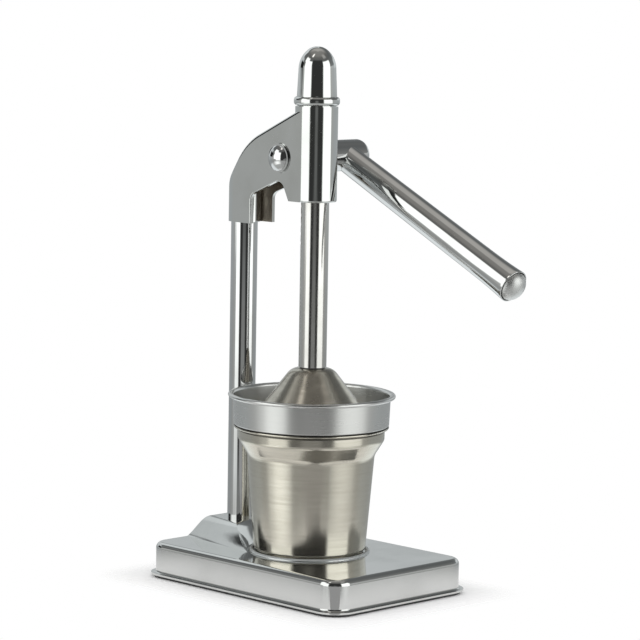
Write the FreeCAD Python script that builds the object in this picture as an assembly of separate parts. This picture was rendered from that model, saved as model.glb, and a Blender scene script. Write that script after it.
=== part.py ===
import FreeCAD, Part
import math
import os

from FreeCAD import Vector

# Hand lever citrus press with a rack and pinion head. Millimetres, +Z up.
# The ram and the cup stand towards -Y, the column towards +Y, and the lever is on +X.
# The origin is on the table, under the middle of the base.

# Fits and gaps
running_fit = 0.06          # radial, where one piece turns or slides in another
push_fit = 0.08             # radial, where a piece is pushed home and stays
end_play = 0.3              # between the end faces of pieces that move past each other

# Where the main axes stand
ram_y = -3.0
column_y = 66.0
axle_z = 291.0

# Base pressing
base_sheet = 1.2
base_length = 189.4
base_width = 133.4
flange_reach = 3.4
flange_sweep = 1.6
shell_corner = 13.5
shell_edge = 4.0
base_top = 24.0
foot_height = 2.0
foot_inset = 2.5
foot_band = 9.0

# Raised ring that keeps the cup in place
cup_ring_gap = 1.7          # from the cup's foot to the middle of the ring
cup_ring_bead = 1.5

# Mound that carries the column, hollowed at the front round the cup's ring
mound_rise = 14.0
mound_foot_spread = math.radians(60.9)
mound_foot_gap = 3.8
mound_foot_rear = 29.0
mound_foot_inset = 6.1
mound_top_spread = math.radians(21.0)
mound_top_gap = 16.0
mound_top_rear = 13.0
mound_top_behind = 12.5
flank_steps = [(-0.08, -0.08), (0.03, 0.03), (0.17, 0.22), (0.33, 0.47), (0.475, 0.69), (0.61, 0.86),
               (0.76, 0.97), (1.0, 1.0)]
flank_skirt = 4.5
flank_sheet = 0.55          # how far the sheet's inner side lies inside the flank, seen from above

# Column and its fastening
column_radius = 9.2
column_spigot_radius = 6.0
column_spigot_length = 14.0
column_bolt_radius = 5.0
column_bolt_grip = 20.0
column_bolt_flats = 16.0
column_bolt_head = 6.4
column_washer_radius = 10.0
column_washer_thick = 2.0
spring_washer_radius = 8.8
spring_washer_thick = 2.2
spring_washer_split = 1.5
plate_thick = 3.0
plate_half_width = 12.0
plate_front = 12.0
plate_rear = 11.0
plate_corner = 4.0
column_pin_radius = 2.0
column_pin_depth = 12.0
column_pin_rise = 5.5
pin_recess = 0.5

# Head casting
guide_wall = 5.0
guide_above_teeth = 19.7
guide_below_teeth = 12.7
guide_foot_round = 1.2
socket_wall = 1.8
socket_depth = 11.5
leg_below_axle = 46.5
leg_front = 18.0
head_wall = 3.0
head_edge = 2.2
arm_below_guide = 0.8
head_top_slope = -0.45
head_shoulder_slope = -1.5
head_shoulder_ahead = 2.5
head_shoulder_below = 4.5
head_shoulder_round = 52.0
head_back_round = 55.0
head_back_reach = 1.5
arch_front_inset = 2.2
arch_front_slope = 1.9
arch_rear_slope = -0.41
arch_rear_below = 26.6
arch_crown = 7.5
arch_corner = 6.0
arch_edge = 0.8
boss_radius = 10.4
boss_inset = 0.3

# Rack and pinion
tooth_module = 2.0
pinion_teeth = 14
pressure_angle = math.radians(25.0)
addendum_factor = 0.9
dedendum_factor = 1.15
tooth_backlash = 0.3
flank_points = 5
pinion_width = 16.0
pinion_play = 0.4
slot_room = 1.2
spare_teeth = 2
lever_swing = math.pi

# Pinion shaft and what it carries
shaft_radius = 5.0
shaft_stud_radius = 3.0
shaft_stud_length = 3.2
bush_radius = 7.0
bush_flange_radius = 8.5
bush_flange_thick = 1.0
key_width = 3.0
key_height = 3.0
key_length = 13.0
axle_washer_radius = 9.9
axle_washer_thick = 0.8
axle_cap_radius = 8.5
axle_cap_rim = 0.4
axle_cap_height = 4.0

# Lever
lever_droop = math.radians(26.0)
lever_length = 183.0
lever_inset = 18.0
hub_radius = 10.8
hub_end_x = 66.0
hub_end_round = 6.0
hub_end_wall = 12.0
rod_root_radius = 9.5
rod_tip_radius = 10.4
rod_lip_radius = 11.0
rod_lip_length = 14.0
rod_wall = 1.6
spigot_reach = 24.0
end_cap_rise = 6.0
end_cap_rim = 0.8
end_cap_plug = 9.0
end_cap_wall = 1.5
set_screw_radius = 2.5
set_screw_x = 26.0
set_screw_recess = 0.5
set_screw_socket = 2.5
set_screw_socket_depth = 2.5

# Ram
ram_radius = 9.5
ram_above_axle = 20.0
ram_chamfer = 1.5
rack_inset = 2.0            # from the ram's back to the pitch line of the rack

# Cap over the top of the ram
cap_clearance = 0.8
cap_spigot_wall = 1.5
cap_spigot_depth = 6.0
cap_room = 1.6
cap_neck_inset = 1.3
cap_groove = 0.7
cap_collar_proud = 1.0
cap_collar_height = 6.6
cap_collar_round = 2.2
cap_body_inset = 1.0
cap_body_rise = 0.6
cap_taper = 1.5
cap_dome_height = 10.0
cap_shoulder_drop = 7.05
cap_shoulder_round = 16.3
cap_crown_radius = 3.9
cap_crown_round = 10.0
cap_crown_wall = 2.2

# Cup
cup_sheet = 0.8
cup_foot_radius = 38.0
cup_foot_round = 4.0
cup_neck_radius = 43.4
cup_neck_rise = 67.0
cup_neck_round = 9.0
cup_collar_radius = 49.9
cup_collar_rise = 77.5
cup_collar_round = 4.5
cup_height = 85.7
cup_lip_reach = 2.1
cup_lip_round = 0.8
cup_bead = 0.75

# Strainer bowl and its perforated cone
bowl_sheet = 0.8
bowl_floor_ring = 13.3
bowl_floor_depth = 5.2
bowl_nest_gap = 1.8
bowl_nest_round = 3.0
bowl_neck_round = 1.0
bowl_step_round = 1.5
bowl_flare = 0.9
bowl_wall_height = 20.6
bowl_lip_reach = 1.9
bowl_lip_round = 1.2
bowl_bead = 1.35
cone_sheet = 0.8
cone_flange_lap = 4.0
cone_foot_gap = 3.0
cone_foot_round = 3.0
cone_nose_radius = 9.0
cone_nose_round = 8.0
cone_height = 32.0
slot_count = 20
slot_width = 2.2
slot_low = 5.0
slot_high = 20.0

# Press bell and its fastening
bell_sheet = 1.2
seat_washer_radius = 8.6
seat_washer_thick = 0.8
bell_shoulder_radius = 14.0
bell_shoulder_round = 10.0
bell_gap = 4.5
bell_height = 39.9
bell_above_floor = 5.3
bell_lip_height = 2.5
bell_lip_flare = 0.4
bell_flank_round = 3.0
bell_screw_radius = 3.0
bell_screw_grip = 14.0
bell_screw_head_radius = 6.0
bell_screw_head = 3.6
bell_screw_socket = 2.5
bell_washer_radius = 9.0
bell_washer_thick = 1.2

# Rack and pinion: sizes that follow from those above
pitch_radius = tooth_module * pinion_teeth / 2
tooth_pitch = math.pi * tooth_module
tooth_addendum = addendum_factor * tooth_module
tooth_dedendum = dedendum_factor * tooth_module
tip_radius = pitch_radius + tooth_addendum
root_radius = pitch_radius - tooth_dedendum
rack_line = ram_radius - rack_inset
axle_y = ram_y + rack_line + pitch_radius
ram_travel = pitch_radius * lever_swing

# Head: sizes that follow
guide_radius = ram_radius + guide_wall
guide_top = axle_z + tip_radius + guide_above_teeth
guide_bottom = axle_z - tip_radius - guide_below_teeth
socket_radius = column_radius + socket_wall
leg_bottom = axle_z - leg_below_axle
leg_front_y = column_y - leg_front
head_shoulder_y = column_y - head_shoulder_ahead
head_shoulder_z = axle_z - head_shoulder_below
arch_front_y = ram_y + guide_radius - arch_front_inset
arch_rear_z = axle_z - arch_rear_below
boss_inner_x = pinion_width / 2 + bush_flange_thick + pinion_play
boss_outer_x = guide_radius - boss_inset
lever_x = hub_end_x - lever_inset
shaft_end_x = hub_end_x - hub_end_wall
ram_top = axle_z + ram_above_axle
cap_bore_radius = ram_radius + cap_clearance
cap_bore_top = ram_top + ram_travel + cap_room
cap_top = cap_bore_top + cap_dome_height

# Base and column: sizes that follow
cup_ring_radius = cup_foot_radius + cup_ring_gap
mound_top = base_top + mound_rise
plate_top = mound_top - base_sheet
washer_top = plate_top - plate_thick
spring_washer_top = washer_top - column_washer_thick
bolt_head_top = spring_washer_top - spring_washer_thick
column_shoulder_z = leg_bottom + socket_depth
column_pin_z = leg_bottom + column_pin_rise

# Cup, bowl and bell: sizes that follow, each standing on the one before
cup_rim_z = base_top + cup_height
bowl_floor_z = cup_rim_z - bowl_floor_depth
bowl_step_z = cup_rim_z + cup_bead
bowl_rim_z = bowl_step_z + bowl_wall_height
bowl_nest_radius = cup_collar_radius - cup_sheet - bowl_nest_gap
bowl_mouth = bowl_nest_radius - bowl_floor_ring
bowl_step_radius = cup_collar_radius + cup_lip_reach + cup_bead
bowl_wall_radius = bowl_step_radius + bowl_flare
bell_lip_z = bowl_floor_z + bell_above_floor
bell_top = bell_lip_z + bell_height
bell_flank_radius = bowl_nest_radius - bell_gap
ram_bottom = bell_top + seat_washer_thick

up = Vector(0, 0, 1)
across = Vector(1, 0, 0)
rearward = Vector(0, 1, 0)
ram_axis = Vector(0, ram_y, 0)
column_axis = Vector(0, column_y, 0)
axle = Vector(0, axle_y, axle_z)
lever_along = Vector(0, -math.cos(lever_droop), -math.sin(lever_droop))


# Placing of flat outlines
def side_view(p):
    return Vector(0, p.x, p.y)


def beside_ram(p):
    return Vector(p.x, ram_y, p.y)


def level(z):
    return lambda p: Vector(p.x, p.y, z)


# Outlines with rounded corners
def round_corner(before, here, after, radius):
    back = (before - here).normalize()
    ahead = (after - here).normalize()
    half = back.getAngle(ahead) / 2
    reach = radius / math.tan(half)
    middle = (back + ahead).normalize() * (radius / math.sin(half) - radius)
    return here + back * reach, here + middle, here + ahead * reach


def closed_face(corners, place):
    # corners are (u, v, radius), in order round the outline
    points = [Vector(u, v, 0) for u, v, radius in corners]
    stops = []
    for i, (u, v, radius) in enumerate(corners):
        if radius > 0:
            after = points[(i + 1) % len(points)]
            stops.append(round_corner(points[i - 1], points[i], after, radius))
        else:
            stops.append((points[i],))
    edges = []
    for i, stop in enumerate(stops):
        if len(stop) == 3:
            edges.append(Part.Arc(*[place(p) for p in stop]).toShape())
        begin = place(stop[-1])
        end = place(stops[(i + 1) % len(stops)][0])
        if begin.distanceToPoint(end) > 1e-6:
            edges.append(Part.LineSegment(begin, end).toShape())
    return Part.Face(Part.Wire(edges))


def moved_sideways(corners, shift):
    # an open outline, moved to the left of its own direction
    points = [Vector(u, v, 0) for u, v, radius in corners]
    moved = []
    for i, (u, v, radius) in enumerate(corners):
        ahead = points[min(i + 1, len(points) - 1)] - points[min(i, len(points) - 2)]
        back = points[max(i, 1)] - points[max(i - 1, 0)]
        ahead.normalize()
        back.normalize()
        left = Vector(-back.y - ahead.y, back.x + ahead.x, 0)
        point = points[i] + left * (shift / (1 + back.dot(ahead)))
        turn = back.x * ahead.y - back.y * ahead.x
        bend = radius - math.copysign(shift, turn) if radius > 0 else 0
        moved.append((point.x, point.y, bend))
    return moved


def turned(corners):
    return closed_face(corners, beside_ram).revolve(ram_axis, up, 360)


def turned_sheet(corners, thickness):
    return turned(corners + moved_sideways(corners, thickness)[::-1])


def disc(radius, height, z, axis, bore=0):
    solid = Part.makeCylinder(radius, height, axis + up * z)
    if bore > 0:
        solid = solid.cut(Part.makeCylinder(bore, height, axis + up * z))
    return solid


def rod_along_x(radius, x_from, x_to, bore=0):
    start = axle + across * x_from
    solid = Part.makeCylinder(radius, x_to - x_from, start, across)
    if bore > 0:
        solid = solid.cut(Part.makeCylinder(bore, x_to - x_from, start, across))
    return solid


def hexagon(flats, height, z, axis):
    reach = flats / math.sqrt(3)
    corners = []
    for i in range(6):
        angle = math.radians(60 * i)
        corners.append((axis.x + reach * math.cos(angle), axis.y + reach * math.sin(angle), 0))
    return closed_face(corners, level(z)).extrude(up * height)


def rounded_plate(length, width, corner, z, height):
    x, y = width / 2, length / 2
    corners = [(-x, -y, corner), (x, -y, corner), (x, y, corner), (-x, y, corner)]
    return closed_face(corners, level(z)).extrude(up * height)


# Base
def mound_outline(rise, inset, drop):
    # one level of the mound: how far in along the flank, and how far up
    flank, height = rise

    def between(foot, top):
        return foot + (top - foot) * flank

    hollow = cup_ring_radius + between(mound_foot_gap, mound_top_gap) + inset
    foot_front = (cup_ring_radius + mound_foot_gap) * math.sin(mound_foot_spread)
    top_front = (cup_ring_radius + mound_top_gap) * math.sin(mound_top_spread)
    front = between(foot_front, top_front) - inset
    rear = between(mound_foot_rear, mound_top_rear) - inset
    rear_y = between(base_length / 2 - mound_foot_inset, column_y + mound_top_behind) - inset
    front_y = ram_y + math.sqrt(hollow ** 2 - front ** 2)
    z = base_top + mound_rise * height - drop
    corners = [Vector(-rear, rear_y, z), Vector(-front, front_y, z),
               Vector(front, front_y, z), Vector(rear, rear_y, z)]
    front_edge = Part.Arc(corners[1], Vector(0, ram_y + hollow, z), corners[2])
    sides = [Part.LineSegment(corners[0], corners[1]), front_edge,
             Part.LineSegment(corners[2], corners[3]), Part.LineSegment(corners[3], corners[0])]
    return Part.Wire([side.toShape() for side in sides])


def base_form(thickness):
    # the outside of the pressing at no thickness, and its hollow at the sheet's thickness
    length = base_length - 2 * flange_reach - 2 * thickness
    width = base_width - 2 * flange_reach - 2 * thickness
    height = base_top - foot_height - thickness
    block = rounded_plate(length, width, shell_corner - thickness, foot_height, height)
    rim = [e for e in block.Edges if e.BoundBox.ZMin > base_top - thickness - 0.01]
    block = block.makeFillet(shell_edge - thickness, rim)
    flank_inset = flank_sheet * thickness / base_sheet
    levels = [mound_outline(step, flank_inset, thickness) for step in flank_steps]
    mound = Part.makeLoft(levels, True)
    skirt = Part.Face(levels[0]).extrude(up * -flank_skirt)
    bead = Part.makeTorus(cup_ring_radius, cup_ring_bead - thickness, ram_axis + up * (base_top - thickness))
    return block.fuse([mound, skirt, bead])


def make_base_shell():
    flange = rounded_plate(base_length, base_width, shell_corner + flange_reach, foot_height, base_sheet)
    outside = base_form(0).fuse(flange).removeSplitter()
    neck_z = foot_height + base_sheet
    neck_width = base_width / 2 - flange_reach
    neck_length = base_length / 2 - flange_reach
    neck = []
    for edge in outside.Edges:
        box = edge.BoundBox
        flat = abs(box.ZMin - neck_z) < 0.01 and abs(box.ZMax - neck_z) < 0.01
        inside = max(abs(box.XMin), abs(box.XMax)) < neck_width + 0.01
        if flat and inside and max(abs(box.YMin), abs(box.YMax)) < neck_length + 0.01:
            neck.append(edge)
    outside = outside.makeFillet(flange_sweep, neck)
    bolt_hole = disc(column_bolt_radius + end_play, 2 * base_sheet, mound_top - 1.5 * base_sheet, column_axis)
    return outside.cut([base_form(base_sheet), bolt_hole])


def make_foot_strip():
    length = base_length - 2 * foot_inset
    width = base_width - 2 * foot_inset
    corner = shell_corner + flange_reach - foot_inset
    outer = rounded_plate(length, width, corner, 0, foot_height)
    hole = rounded_plate(length - 2 * foot_band, width - 2 * foot_band, corner - foot_band, 0, foot_height)
    return outer.cut(hole)


def make_stiffener_plate():
    x = plate_half_width
    front = column_y - plate_front
    rear = column_y + plate_rear
    corners = [(-x, front, plate_corner), (x, front, plate_corner),
               (x, rear, plate_corner), (-x, rear, plate_corner)]
    plate = closed_face(corners, level(washer_top)).extrude(up * plate_thick)
    return plate.cut(disc(column_bolt_radius + end_play, plate_thick, washer_top, column_axis))


# Column
def make_column():
    shaft = disc(column_radius, column_shoulder_z - mound_top, mound_top, column_axis)
    spigot = disc(column_spigot_radius, column_spigot_length, column_shoulder_z, column_axis)
    bore = disc(column_bolt_radius + push_fit, column_bolt_grip + 2, mound_top, column_axis)
    return shaft.fuse(spigot).removeSplitter().cut([bore, column_pin(push_fit)])


def column_pin(clearance):
    start = Vector(0, column_y + socket_radius - column_pin_depth, column_pin_z)
    length = column_pin_depth - pin_recess
    if clearance > 0:
        length = column_pin_depth + 1
    return Part.makeCylinder(column_pin_radius + clearance, length, start, rearward)


def make_column_bolt():
    shank_length = mound_top + column_bolt_grip - bolt_head_top
    shank = disc(column_bolt_radius, shank_length, bolt_head_top, column_axis)
    head = hexagon(column_bolt_flats, column_bolt_head, bolt_head_top - column_bolt_head, column_axis)
    return shank.fuse(head)


def make_column_washer():
    bore = column_bolt_radius + end_play
    return disc(column_washer_radius, column_washer_thick, spring_washer_top, column_axis, bore)


def make_spring_washer():
    bore = column_bolt_radius + end_play
    ring = disc(spring_washer_radius, spring_washer_thick, bolt_head_top, column_axis, bore)
    corner = Vector(-spring_washer_split / 2, column_y, bolt_head_top)
    return ring.cut(Part.makeBox(spring_washer_split, spring_washer_radius + 1, spring_washer_thick, corner))


# Head casting
def head_plan(inset):
    # two circles joined by their outer tangents, seen from above
    front = guide_radius - inset
    rear = socket_radius - inset
    tilt = math.asin((front - rear) / (column_y - ram_y))

    def corner(radius, y, side):
        return Vector(side * radius * math.cos(tilt), y + radius * math.sin(tilt), leg_bottom - 1)

    def apex(y):
        return Vector(0, y, leg_bottom - 1)

    edges = [Part.LineSegment(corner(front, ram_y, 1), corner(rear, column_y, 1)),
             Part.Arc(corner(rear, column_y, 1), apex(column_y + rear), corner(rear, column_y, -1)),
             Part.LineSegment(corner(rear, column_y, -1), corner(front, ram_y, -1)),
             Part.Arc(corner(front, ram_y, -1), apex(ram_y - front), corner(front, ram_y, 1))]
    wire = Part.Wire([edge.toShape() for edge in edges])
    return Part.Face(wire).extrude(up * (guide_top + 2 - leg_bottom))


def head_back(inset, front_y):
    # the arm's top line, its shoulder and its back, as seen from the side
    drop = inset * math.hypot(1, head_top_slope)
    shoulder_drop = inset * math.hypot(1, head_shoulder_slope)
    top_z = guide_top - arm_below_guide - drop
    rear_y = column_y + socket_radius + head_back_reach - inset
    shoulder_z = head_shoulder_z - shoulder_drop
    bend_y = (shoulder_z - head_shoulder_slope * head_shoulder_y - top_z + head_top_slope * ram_y)
    bend_y = bend_y / (head_top_slope - head_shoulder_slope)
    bend_z = top_z + head_top_slope * (bend_y - ram_y)
    back_z = shoulder_z + head_shoulder_slope * (rear_y - head_shoulder_y)
    return [(rear_y, back_z, head_back_round - inset), (bend_y, bend_z, head_shoulder_round - inset),
            (front_y, top_z + head_top_slope * (front_y - ram_y), 0)]


def rim_edges(arm, rise_low, rise_high, front_y):
    # the lengthwise edges of those faces that run straight across the arm and look up, or down
    edges = []
    for face in arm.Faces:
        u_low, u_high, v_low, v_high = face.ParameterRange
        normal = face.normalAt((u_low + u_high) / 2, (v_low + v_high) / 2)
        level = abs(normal.x) < 1e-6 and face.BoundBox.YMin > front_y - 0.1
        if level and rise_low < normal.z < rise_high:
            edges += [e for e in face.Edges if e.BoundBox.XLength < guide_radius / 2]
    return edges


def head_arm():
    # the arch under the arm: a steep front, a round crown and a long slope down to the leg
    crown_y = (arch_rear_z - arch_rear_slope * leg_front_y - guide_bottom + arch_front_slope * arch_front_y)
    crown_y = crown_y / (arch_front_slope - arch_rear_slope)
    crown_z = guide_bottom + arch_front_slope * (crown_y - arch_front_y)
    tangent_y = ram_y + guide_radius * (guide_radius - socket_radius) / (column_y - ram_y)
    arch = [(tangent_y, guide_bottom, 0), (arch_front_y, guide_bottom, 0), (crown_y, crown_z, arch_crown),
            (leg_front_y, arch_rear_z, arch_corner), (leg_front_y, leg_bottom, 0)]
    back = head_back(0, tangent_y)
    outline = arch + [(back[0][0], leg_bottom, 0)] + back
    slab = closed_face(outline, side_view).extrude(across * 4 * guide_radius)
    slab.translate(across * -2 * guide_radius)
    arm = slab.common(head_plan(0))
    arm = arm.makeFillet(head_edge, rim_edges(arm, 0.05, 1, ram_y))
    return arm.makeFillet(arch_edge, rim_edges(arm, -0.99, 0.01, arch_front_y))


def head_hollow():
    roof = head_back(head_wall, ram_y)
    rear_y = roof[0][0]
    outline = [(ram_y, leg_bottom - 1, 0), (rear_y, leg_bottom - 1, 0)] + roof
    slab = closed_face(outline, side_view).extrude(across * 4 * guide_radius)
    slab.translate(across * -2 * guide_radius)
    guide = disc(guide_radius - head_wall / 2, guide_top - leg_bottom + 2, leg_bottom - 1, ram_axis)
    socket = disc(socket_radius, guide_top - leg_bottom, leg_bottom - 1, column_axis)
    return slab.common(head_plan(head_wall)).cut([guide, socket])


def make_head_casting():
    guide = disc(guide_radius, guide_top - guide_bottom, guide_bottom, ram_axis)
    foot_edge = [e for e in guide.Edges if e.BoundBox.ZMax < guide_bottom + 0.01]
    guide = guide.makeFillet(guide_foot_round, foot_edge)
    body = head_arm().cut(head_hollow()).fuse(guide)
    bosses = [rod_along_x(boss_radius, boss_inner_x, boss_outer_x),
              rod_along_x(boss_radius, -boss_outer_x, -boss_inner_x)]
    body = body.fuse(bosses)
    ram_bore = disc(ram_radius + running_fit, guide_top - guide_bottom, guide_bottom, ram_axis)
    spigot_room = cap_bore_radius + cap_spigot_wall + push_fit
    cap_bore = disc(spigot_room, cap_spigot_depth, guide_top - cap_spigot_depth, ram_axis)
    shaft_hole = rod_along_x(bush_radius + push_fit, -2 * boss_outer_x, 2 * boss_outer_x)
    slot_half = pinion_width / 2 + slot_room
    slot_reach = tip_radius + slot_room
    slot_corner = Vector(-slot_half, ram_y, axle_z - slot_reach)
    slot = Part.makeBox(2 * slot_half, guide_radius + 1, 2 * slot_reach, slot_corner)
    seat = disc(column_radius + push_fit, column_shoulder_z - leg_bottom, leg_bottom, column_axis)
    hole_depth = column_spigot_length + 1
    spigot_hole = disc(column_spigot_radius + push_fit, hole_depth, column_shoulder_z, column_axis)
    cuts = [ram_bore, cap_bore, shaft_hole, slot, seat, spigot_hole, column_pin(push_fit)]
    return body.cut(cuts).removeSplitter()


def make_shaft_bushes():
    bushes = []
    for side in (-1, 1):
        inner = side * boss_inner_x
        outer = side * boss_outer_x
        lip = side * (boss_inner_x - bush_flange_thick)
        sleeve = rod_along_x(bush_radius, min(inner, outer), max(inner, outer))
        flange = rod_along_x(bush_flange_radius, min(inner, lip), max(inner, lip))
        bore = rod_along_x(shaft_radius + running_fit, -boss_outer_x, boss_outer_x)
        bushes.append(sleeve.fuse(flange).cut(bore))
    return Part.makeCompound(bushes)


def make_top_cap():
    # a spigot in the guide, a bead for a collar, a slightly tapered body and a tall dome
    collar_z = guide_top + cap_groove
    collar_top = guide_top + cap_collar_height
    spigot_z = guide_top - cap_spigot_depth
    spigot_radius = cap_bore_radius + cap_spigot_wall
    neck_radius = guide_radius - cap_neck_inset
    collar_radius = guide_radius + cap_collar_proud
    body_radius = guide_radius - cap_body_inset
    inner_top = cap_top - cap_crown_wall
    body_z = collar_top + cap_body_rise
    shoulder_z = cap_top - cap_shoulder_drop
    shoulder_radius = body_radius - cap_taper * (shoulder_z - body_z) / (cap_top - body_z)
    outline = [(cap_bore_radius, spigot_z, 0), (spigot_radius, spigot_z, 0), (spigot_radius, guide_top, 0),
               (neck_radius, guide_top, 0), (neck_radius, collar_z, 0),
               (collar_radius, collar_z, cap_collar_round), (collar_radius, collar_top, cap_collar_round),
               (body_radius, collar_top, 0), (body_radius, body_z, 0),
               (shoulder_radius, shoulder_z, cap_shoulder_round),
               (cap_crown_radius, cap_top, cap_crown_round), (0, cap_top, 0),
               (0, inner_top, 0), (cap_bore_radius / 4, inner_top, 0), (cap_bore_radius, cap_bore_top, 0)]
    return turned(outline)


# Pinion, shaft and lever
def involute(radius, base):
    return math.sqrt((radius / base) ** 2 - 1) - math.acos(base / radius)


def pinion_face():
    base = pitch_radius * math.cos(pressure_angle)
    thickness = tooth_pitch / 2 - tooth_backlash / 2
    half_at_base = thickness / (2 * pitch_radius) + involute(pitch_radius, base)
    step = 2 * math.pi / pinion_teeth

    def spot(radius, angle):
        # angle zero faces the ram
        return Vector(0, axle_y - radius * math.cos(angle), axle_z + radius * math.sin(angle))

    def flank(middle, side):
        points = []
        for i in range(flank_points):
            radius = base + (tip_radius - base) * i / (flank_points - 1)
            points.append(spot(radius, middle + side * (half_at_base - involute(radius, base))))
        curve = Part.BSplineCurve()
        curve.interpolate(points if side < 0 else points[::-1])
        return curve

    half_at_tip = half_at_base - involute(tip_radius, base)
    edges = []
    for tooth in range(pinion_teeth):
        middle = tooth * step
        rise_angle = middle - half_at_base
        fall_angle = middle + half_at_base
        following = middle + step - half_at_base
        edges.append(Part.LineSegment(spot(root_radius, rise_angle), spot(base, rise_angle)))
        edges.append(flank(middle, -1))
        edges.append(Part.Arc(spot(tip_radius, middle - half_at_tip), spot(tip_radius, middle),
                              spot(tip_radius, middle + half_at_tip)))
        edges.append(flank(middle, 1))
        edges.append(Part.LineSegment(spot(base, fall_angle), spot(root_radius, fall_angle)))
        edges.append(Part.Arc(spot(root_radius, fall_angle), spot(root_radius, (fall_angle + following) / 2),
                              spot(root_radius, following)))
    return Part.Face(Part.Wire([edge.toShape() for edge in edges]))


def key_block(clearance):
    width = key_width + 2 * clearance
    height = key_height + 2 * clearance
    corner = axle + Vector(-key_length / 2, -width / 2, shaft_radius - height / 2)
    return Part.makeBox(key_length, width, height, corner)


def make_pinion():
    gear = pinion_face().extrude(across * pinion_width)
    gear.translate(across * -pinion_width / 2)
    bore = rod_along_x(shaft_radius + push_fit, -pinion_width, pinion_width)
    return gear.cut([bore, key_block(push_fit)])


def make_pinion_shaft():
    shaft = rod_along_x(shaft_radius, -boss_outer_x, shaft_end_x)
    stud = rod_along_x(shaft_stud_radius, -boss_outer_x - shaft_stud_length, -boss_outer_x)
    return shaft.fuse(stud).removeSplitter().cut(key_block(push_fit))


def make_axle_washer():
    near = -boss_outer_x - end_play
    return rod_along_x(axle_washer_radius, near - axle_washer_thick, near, shaft_stud_radius + push_fit)


def make_axle_cap():
    # a domed cap screwed on the shaft's stud: a short rim and a spherical crown
    near = boss_outer_x + end_play + axle_washer_thick
    dome_rise = axle_cap_height - axle_cap_rim
    dome_radius = (axle_cap_radius ** 2 + dome_rise ** 2) / (2 * dome_rise)
    rim = rod_along_x(axle_cap_radius, -near - axle_cap_height - 1, -near)
    ball = Part.makeSphere(dome_radius, axle + across * (dome_radius - near - axle_cap_height))
    stud_end = boss_outer_x + shaft_stud_length
    bore = rod_along_x(shaft_stud_radius + push_fit, -stud_end - push_fit, -near)
    return rim.common(ball).cut(bore)


def along_lever(shape):
    # from an upright piece at the origin to the lever's axis at its root
    turn = FreeCAD.Rotation(up, lever_along)
    shape.Placement = FreeCAD.Placement(axle + across * lever_x, turn)
    return shape


def upright(corners):
    return closed_face(corners, lambda p: Vector(p.x, 0, p.y)).revolve(Vector(0, 0, 0), up, 360)


def make_lever_hub():
    start = boss_outer_x + end_play
    body = rod_along_x(hub_radius, start, hub_end_x)
    end_edge = [e for e in body.Edges if e.BoundBox.XMin > hub_end_x - 0.01]
    body = body.makeFillet(hub_end_round, end_edge)
    spigot = along_lever(Part.makeCylinder(rod_root_radius - rod_wall - push_fit, spigot_reach))
    bore = rod_along_x(shaft_radius + push_fit, start, shaft_end_x + 1)
    return body.fuse(spigot).cut([bore, set_screw_blank(push_fit)])


def set_screw_blank(clearance):
    start = axle + across * set_screw_x - lever_along * (shaft_radius + push_fit)
    length = hub_radius - shaft_radius - set_screw_recess
    if clearance > 0:
        length = hub_radius
    return Part.makeCylinder(set_screw_radius + clearance, length, start, lever_along * -1)


def make_hub_set_screw():
    socket = hexagon(set_screw_socket, set_screw_socket_depth, 0, Vector(0, 0, 0))
    depth = hub_radius - set_screw_recess - set_screw_socket_depth + push_fit
    turn = FreeCAD.Rotation(up, lever_along * -1)
    socket.Placement = FreeCAD.Placement(axle + across * set_screw_x - lever_along * depth, turn)
    return set_screw_blank(0).cut(socket)


def rod_outline(inset):
    seam = lever_length - end_cap_rise
    return [(rod_root_radius - inset, 0, 0), (rod_tip_radius - inset, seam - rod_lip_length, 0),
            (rod_lip_radius - inset, seam, 0)]


def make_lever_rod():
    outer = rod_outline(0)
    inner = rod_outline(rod_wall)
    tube = along_lever(upright(outer + inner[::-1]))
    saddle_radius = hub_radius + push_fit
    return tube.cut(rod_along_x(saddle_radius, lever_x - 2 * hub_radius, lever_x + 2 * hub_radius))


def make_lever_end_cap():
    seam = lever_length - end_cap_rise
    plug_z = seam - end_cap_plug
    lip_far = rod_lip_radius - rod_wall - push_fit
    plug_radius = lip_far - (rod_lip_radius - rod_tip_radius) * end_cap_plug / rod_lip_length
    dome_rise = end_cap_rise - end_cap_rim
    dome_radius = (rod_lip_radius ** 2 + dome_rise ** 2) / (2 * dome_rise)
    outline = [(0, seam, 0), (lip_far - end_cap_wall, seam, 0), (plug_radius - end_cap_wall, plug_z, 0),
               (plug_radius, plug_z, 0), (lip_far, seam, 0), (rod_lip_radius, seam, 0),
               (rod_lip_radius, lever_length + 1, 0), (0, lever_length + 1, 0)]
    ball = Part.makeSphere(dome_radius, Vector(0, 0, lever_length - dome_radius), across)
    return along_lever(upright(outline).common(ball))


# Ram and press bell
def rack_space(middle_z):
    # one tooth space, cut straight across the back of the ram
    lean = math.tan(pressure_angle)
    half = tooth_pitch / 4 + tooth_backlash / 4
    low = rack_line - tooth_dedendum
    high = ram_radius + 1
    low_half = half - tooth_dedendum * lean
    high_half = half + (high - rack_line) * lean
    corners = [(ram_y + low, middle_z - low_half, 0), (ram_y + high, middle_z - high_half, 0),
               (ram_y + high, middle_z + high_half, 0), (ram_y + low, middle_z + low_half, 0)]
    space = closed_face(corners, side_view).extrude(across * 2 * ram_radius)
    space.translate(across * -ram_radius)
    return space


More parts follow.
